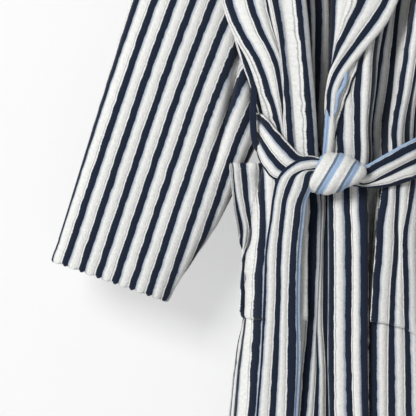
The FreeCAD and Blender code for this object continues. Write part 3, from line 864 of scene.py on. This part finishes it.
down = steps(0.0, 252.0, 4.0)
grid = front_grid(us, -down, LEFT_POCKET_U, LEFT_POCKET_ROWS)
droop = np.interp(grid[..., 0] - LINE_X, [68, 93, 120, 139, 175], [0.0, 4.0, 11.0, 22.0, 40.0])
height = -486.0 - down[:, None] - droop * (down[:, None] / 252.0)
spare = front_y(grid[..., 0], height) - front_y(grid[..., 0], grid[..., 2])
grid[..., 1] += spare
grid[..., 2] = height
hang("left_pocket_cloth", "left_pocket", us, down, grid, turned=("top", "low", "left"), hem=POCKET_HEM)

# ------------ the belt
BELT_U = [-2.5, 0, 10, 28, 38, 56, 63]
# Along the belt from inside the knot, round the wearer's right side, behind and back to
# the knot: each station holds x, y, z for each cloth position across the belt, top first.
RIGHT_ARM = [
    [(-8, -133, -478), (-9, -134, -480), (-13, -135, -488), (-20, -135, -500),
     (-24, -135, -506), (-30, -134, -514), (-32, -132, -516)],
    [(-26, -131, -473), (-28, -132, -475), (-33, -133, -481), (-42, -133, -491),
     (-47, -133, -497), (-56, -132, -506), (-58, -130, -508)],
    [(-44, -127, -471.5), (-46, -128, -474), (-53, -129, -481), (-66, -129, -492),
     (-72, -129, -499), (-83, -128, -508), (-85, -126, -510)],
    [(-66, -121, -450), (-68, -122, -453), (-75, -123, -461), (-86, -122, -474),
     (-92, -121, -481), (-101, -119, -490), (-103, -117, -492)],
    [(-86, -112, -427), (-88, -113, -430), (-92, -113, -439), (-100, -111, -453),
     (-104, -109, -461), (-110, -105, -472), (-111, -103, -474)],
    [(-103, -96, -407), (-104, -97, -410), (-106, -96, -420), (-109, -94, -436),
     (-110, -92, -445), (-112, -88, -458), (-112, -86, -461)],
    [(-110, -72, -402), (-111, -72, -405), (-112, -72, -414), (-113, -71, -431),
     (-113, -70, -440), (-113, -68, -455), (-113, -67, -458)],
]
LEFT_ARM = [
    [(164, -50, -428), (165, -50, -431), (166, -50, -441), (166, -50, -458),
     (166, -50, -468), (165, -50, -483), (164, -50, -486)],
    [(158, -90, -434), (159, -91, -441), (160, -92, -448), (160, -93, -465),
     (160, -92, -475), (160, -93, -491), (159, -91, -497)],
    [(139, -117, -443), (139.5, -118, -450.5), (139.5, -120, -461), (139.5, -119, -475.5),
     (139.5, -117, -484), (139.5, -120, -502), (139, -118, -508.5)],
    [(112, -126, -458.5), (112.5, -127, -464.5), (113, -129, -474.5), (113.5, -128, -488.5),
     (113.5, -126, -496), (114, -129, -511), (114, -127, -517.5)],
    [(84, -133, -474.5), (84.5, -134, -480), (85.5, -136, -489), (86.5, -136, -502.5),
     (86.5, -134, -508.5), (87.5, -136, -518), (87.5, -134, -523)],
    [(55, -138, -491), (55.5, -139, -495.5), (57, -141, -503.5), (58.5, -141, -515.5),
     (58.5, -139, -518), (59, -140, -520.5), (59, -138, -522.5)],
    [(34, -140, -496), (34.5, -141, -498), (35.5, -142, -505), (36.5, -142, -513),
     (36.5, -141, -515), (37, -141, -518), (37, -140, -520)],
    [(14, -138, -496), (14, -139, -498), (14, -140, -503), (14, -140, -510),
     (14, -139, -512), (14, -139, -515), (14, -138, -517)],
]


def belt_station(angle):
    """A station behind the body: the angle runs from the wearer's right, 0, to the left, pi."""
    share = angle / math.pi
    half, deep = 133.0, 71.0
    c, s = math.cos(angle), math.sin(angle)
    x = -half * math.copysign(abs(c) ** 0.75, c)
    y = BODY_Y + deep * abs(s) ** 0.75
    top = -402.0 - 26.0 * share + 2.0 * math.sin(7.0 * angle)
    return [(x - LINE_X, y, top - 55.0 * (u - BELT_U[0]) / (BELT_U[-1] - BELT_U[0])) for u in BELT_U]


stations = RIGHT_ARM + [belt_station(a) for a in np.linspace(0.0, math.pi, 15)] + LEFT_ARM
stations = np.array(stations, float)
stations[-len(LEFT_ARM):, 0] = stations[-len(LEFT_ARM):, 1] + (0.0, 1.0, 1.2)
stations[..., 0] += LINE_X
reach = np.linalg.norm(np.diff(stations.mean(1), axis=0), axis=1)
along = np.concatenate([[0.0], np.cumsum(np.maximum(reach, 1.0))])
us = columns(BELT_U[0], BELT_U[-1])
vs = steps(0.0, along[-1], 5.0)
grid = net(BELT_U, [(v, s) for v, s in zip(along, stations)], us, vs)
hang("belt_waist_cloth", "belt_waist", us, vs, grid, held="draped", slot="belt_cloth", thick=4.0)

# Left of the knot the belt's top edge rolls over and shows its pale blue reverse.
edge = stations[-len(LEFT_ARM):, :3].copy()
edge[:, 0] = edge[:, 1] + (0.0, 1.0, 7.0)
edge[:, 2] = edge[:, 1] + (0.0, 4.5, -4.5)
edge[:, 1] += (0.0, 2.5, 2.0)
reach = np.linalg.norm(np.diff(edge.mean(1), axis=0), axis=1)
along = np.concatenate([[0.0], np.cumsum(reach)])
us = columns(4.8, 12.0)
vs = steps(0.0, along[-1], 5.0)
grid = net([4.8, 9.0, 12.0], [(v, s) for v, s in zip(along, edge)], us, vs)
hang("belt_edge_cloth", "belt_waist", us, vs, grid, held="folded", slot="belt_cloth",
     materials=REVERSE, thick=3.0)


def level_row(z, *xs):
    return [(x, z) for x in xs]


def belt_tail(name, node, shift, end_z):
    """One hanging end of the belt, from inside the knot over its own bend and down."""
    rows = [
        [(-2, -480), (-2, -482), (-2, -489), (-2, -492), (-2, -496), (-2, -499), (-2, -500)],
        [(-30, -476.5), (-29.5, -480), (-28, -493), (-27, -495.5), (-25, -498), (-23, -500), (-22, -501)],
        [(-52, -480), (-51, -484), (-47, -496.5), (-44, -498.5), (-37, -500.5), (-29.5, -502), (-28, -503)],
        [(-73, -494), (-70.5, -498), (-61, -505), (-55, -507),
         (-41.5, -508.5), (-32, -509.5), (-30.5, -510)],
        [(-84, -509), (-80, -511), (-68, -518), (-60, -520), (-44, -521), (-34.5, -521.5), (-33, -522)],
        [(-90.5, -535), (-87, -536), (-75, -540), (-67.5, -541),
         (-52.5, -541.5), (-43, -542), (-41.5, -542)],
        level_row(-575, -95.5, -92, -79.5, -72.5, -57.5, -47.5, -45.5),
        level_row(-607, -100.3, -97, -83, -76, -61, -51.5, -49),
        level_row(-703, -105.6, -101.5, -86, -78.5, -65.6, -54.5, -52.5),
        level_row(-799, -110, -106.5, -91, -82, -66.5, -53.5, -51.5),
        level_row(-887, -117, -113.5, -96, -86.5, -69, -57.5, -56),
        level_row(-960, -121, -117, -100, -90, -72.5, -61, -59),
    ]
    depth = [-156, -161, -166, -167, -165, -161, -157, -155.5, -155.5, -155.5, -155.5, -155.5]
    u_keys = [6, 10, 28, 38, 56, 66, 68.5]
    if shift:
        rows = rows[4:]
        depth = depth[4:]
    places = np.array([[(x + LINE_X, d + shift, z) for x, z in row] for row, d in zip(rows, depth)], float)
    step = np.linalg.norm(np.diff(places.mean(1), axis=0), axis=1)
    along = np.concatenate([[0.0], np.cumsum(step)])
    last = float(np.interp(-end_z, -places[:, :, 2].mean(1), along))
    us = columns(u_keys[0], u_keys[-1])
    vs = steps(0.0, last, 4.0)
    grid = net(u_keys, [(v, p) for v, p in zip(along, places)], us, vs)
    piece = hang(name, node, us, vs, grid, turned=("low",), slot="belt_cloth", body=None, thick=3.6)
    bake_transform(piece)
    if not shift:
        # Its pale blue reverse shows along one side.
        side = grid[:, -1:] + np.array([(-6.0, 3.0, 0.0), (0.0, 3.5, 0.0), (5.5, 4.0, 0.0)])
        us = columns(4.8, 12.0)
        grid = net([4.8, 9.0, 12.0], [(v, p) for v, p in zip(vs, side)], us, vs)
        piece = hang("tail_edge_cloth", node, us, vs, grid, held="folded", slot="belt_cloth", body=None,
                     materials=REVERSE, thick=2.4)
        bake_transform(piece)


belt_tail("front_tail_cloth", "belt_front_tail", 0.0, -958.0)
belt_tail("rear_tail_cloth", "belt_rear_tail", 6.5, -898.0)

KNOT_U = (-14.0, 54.0)
us = columns(*KNOT_U)
angles = np.radians(steps(132.0, -128.0, 4.0))
knot = np.zeros((len(angles), len(us), 3))
lean = np.zeros((len(angles), len(us)))
for r, angle in enumerate(angles):
    s, c = math.sin(angle), math.cos(angle)
    left = -26.0 + 11.0 * s
    right = 57.0 + 9.0 * s - 16.0 * s * s
    t = np.linspace(0.0, 1.0, len(us))
    x = left + (right - left) * t
    bulge = 1 - 0.36 * np.abs(2 * t - 0.80) ** 2.4
    tall = 30.5 * np.clip(bulge, 0.3, 1)
    deep = 26.0 * np.clip(bulge, 0.3, 1)
    knot[r, :, 0] = x + LINE_X
    knot[r, :, 1] = -148.0 - deep * c
    knot[r, :, 2] = -500.0 - 3.0 * t + tall * s
    lean[r] = 0.85 * x - 0.53 * (knot[r, :, 2] + 500.0) + 5.0
around = np.degrees(angles[0] - angles) * 0.5
knot_piece = cloth_mesh("knot_cloth", lean, around, knot, thick=3.6)
dress(knot_piece, ("belt_knot",), "robe", REVERSE)

# ------------ belt loops and hanging loop
def strap(name, node, path, across, thick=2.2):
    """A narrow tape along a path; across is its width vector."""
    path = np.array(path, float)
    step = np.linalg.norm(np.diff(path, axis=0), axis=1)
    along = np.concatenate([[0.0], np.cumsum(step)])
    vs = steps(0.0, along[-1], 3.0)
    line = curve(along, path, vs)
    wide = float(np.linalg.norm(across))
    us = np.linspace(0.0, wide, 7)
    grid = line[:, None, :] + (us[None, :, None] / wide - 0.5) * np.array(across, float)[None, None, :]
    piece = cloth_mesh(name, us, vs, grid, thick=thick, ribbed=False)
    dress(piece, (node,), "robe", (tape_cloth, tape_cloth))


strap("right_belt_loop_tape", "right_belt_loop",
      [(-139, -90, -350), (-139, -94, -362), (-141, -100, -392), (-141, -104, -420),
       (-138, -102, -448), (-131, -90, -464), (-128, -84, -466)],
      (10.5, -3.0, 0.0))
strap("left_belt_loop_tape", "left_belt_loop",
      [(125, -50, -410), (134, -50, -414), (150, -50, -424), (150, -50, -455),
       (150, -50, -480), (138, -50, -494), (128, -50, -497)],
      (0.0, 10.5, 0.0))
strap("hanging_loop_tape", "hanging_loop",
      [(-29, 6, -26), (-28, 3, -16), (-22, 1, -4), (-9, 0, 1.2),
       (9, 0, 1.2), (22, 1, -4), (28, 3, -16), (29, 6, -26)],
      (0.0, 10.2, 0.0))

# ------------ the collar behind the neck
NECK_U = [-34, -14, 0, 14, 40, 70, 100]
# From inside the stand, over the fold and down the fall: how far out and how high.
NECK_PROFILE = [
    (-6.0, -14.0), (-3.0, 10.0), (0.0, 25.0), (10.0, 22.0), (16.0, -4.0), (22.0, -34.0), (30.0, -62.0),
]


def neck_half(sign, name, node):
    """Half of the shawl collar, from the middle of the back round to the shoulder."""
    us = columns(NECK_U[0], NECK_U[-1])
    turns = np.linspace(0.0, math.radians(142.0), 42)
    rows = []
    for turn in turns:
        s, c = math.sin(turn), math.cos(turn)
        front = max(0.0, -c)
        row = []
        for out, z in NECK_PROFILE:
            drop = 24.0 * s * s * (1 if z < 0 else 0.4) * (0.4 if out < 0 else 1)
            side = (84.0 + out * (1.0 + 0.5 * s)) * (s if c > 0 else 1 - 0.1 * front)
            fall = 0.6 * drop + 62.0 * front**1.3
            row.append((sign * side, BODY_Y + (52.0 + out) * c * (1 + 0.1 * front), z - fall))
        rows.append(row)
    along = turns * 90.0
    grid = net(NECK_U, [(v, p) for v, p in zip(along, rows)], us, along)
    if sign < 0:
        grid = grid[:, ::-1]
        us = us[::-1]
    hang(name, node, us, along, grid, turned=("left",) if sign < 0 else ("right",), held="folded")


neck_half(-1, "right_back_collar_cloth", "right_back_collar")
neck_half(1, "left_back_collar_cloth", "left_back_collar")

# ------------ stage, light and camera
PICTURE_WIDTH = 0.6656
VIEW_X = -0.1936 + LINE_X * MM
VIEW_Z = -0.556
CAMERA_DISTANCE = 4.2

FLOOR_Z = -1.24
FLOOR_COLOUR = (0.88, 0.88, 0.88)
STAGE_HALF = 25.0
WALL = 1.5             # half the wall's width
WALL_COLOUR = (0.36, 0.36, 0.36)
WALL_GLOW = 0.49       # light of its own, which keeps the shadows on it soft
ROOM_LIGHT = 0.20
WALL_Y = 0.071
WALL_TOP = 1.3


def stage_sheet(name, corners, colour, glow=0.0, one_sided=False):
    """A plain sheet of the studio. A one-sided one is clear from behind."""
    paper = bpy.data.materials.new(name)
    paper.use_nodes = True
    shader = paper.node_tree.nodes["Principled BSDF"]
    shader.inputs["Base Color"].default_value = colour + (1.0,)
    shader.inputs["Roughness"].default_value = 1.0
    shader.inputs["Specular IOR Level"].default_value = 0.0
    shader.inputs["Emission Color"].default_value = (1.0, 1.0, 1.0, 1.0)
    shader.inputs["Emission Strength"].default_value = glow
    if one_sided:
        nodes = paper.node_tree.nodes
        links = paper.node_tree.links
        side = nodes.new("ShaderNodeNewGeometry")
        clear = nodes.new("ShaderNodeBsdfTransparent")
        mix = nodes.new("ShaderNodeMixShader")
        links.new(side.outputs["Backfacing"], mix.inputs["Fac"])
        links.new(shader.outputs["BSDF"], mix.inputs[1])
        links.new(clear.outputs["BSDF"], mix.inputs[2])
        links.new(mix.outputs["Shader"], nodes["Material Output"].inputs["Surface"])
    mesh = bpy.data.meshes.new(name)
    mesh.from_pydata(corners, [], [(0, 1, 2, 3)])
    sheet = bpy.data.objects.new(name, mesh)
    sheet.data.materials.append(paper)
    bpy.context.scene.collection.objects.link(sheet)


W = STAGE_HALF
stage_sheet(
    "floor",
    [(-W, -W, FLOOR_Z), (W, -W, FLOOR_Z), (W, W, FLOOR_Z), (-W, W, FLOOR_Z)],
    FLOOR_COLOUR,
)
stage_sheet(
    "wall",
    [(-WALL, WALL_Y, FLOOR_Z), (WALL, WALL_Y, FLOOR_Z), (WALL, WALL_Y, WALL_TOP), (-WALL, WALL_Y, WALL_TOP)],
    WALL_COLOUR,
    glow=WALL_GLOW,
    one_sided=True,
)

world = bpy.data.worlds.new("studio")
world.use_nodes = True
world.node_tree.nodes["Background"].inputs["Color"].default_value = (1.0, 1.0, 1.0, 1)
world.node_tree.nodes["Background"].inputs["Strength"].default_value = ROOM_LIGHT
bpy.context.scene.world = world
bpy.context.scene.view_settings.view_transform = "Standard"


def area_light(name, place, target, size, power):
    light = bpy.data.lights.new(name, "AREA")
    light.shape = "SQUARE"
    light.size = size
    light.energy = power
    lamp = bpy.data.objects.new(name, light)
    lamp.location = place
    way = np.array(target, float) - np.array(place, float)
    yaw = math.atan2(way[0], way[1])
    pitch = math.atan2(way[2], math.hypot(way[0], way[1]))
    lamp.rotation_euler = (math.pi / 2 + pitch, 0, -yaw)
    bpy.context.scene.collection.objects.link(lamp)


area_light("key", (-4.2, -6.4, 2.6), (0.0, 0.0, -0.55), 3.0, 700.0)

camera = bpy.data.objects.new("camera", bpy.data.cameras.new("camera"))
camera.data.sensor_width = 36.0
camera.data.lens = 36.0 * CAMERA_DISTANCE / PICTURE_WIDTH
camera.location = (VIEW_X, -0.13 - CAMERA_DISTANCE, VIEW_Z)
camera.rotation_euler = (math.radians(90), 0, 0)
bpy.context.scene.collection.objects.link(camera)
bpy.context.scene.camera = camera
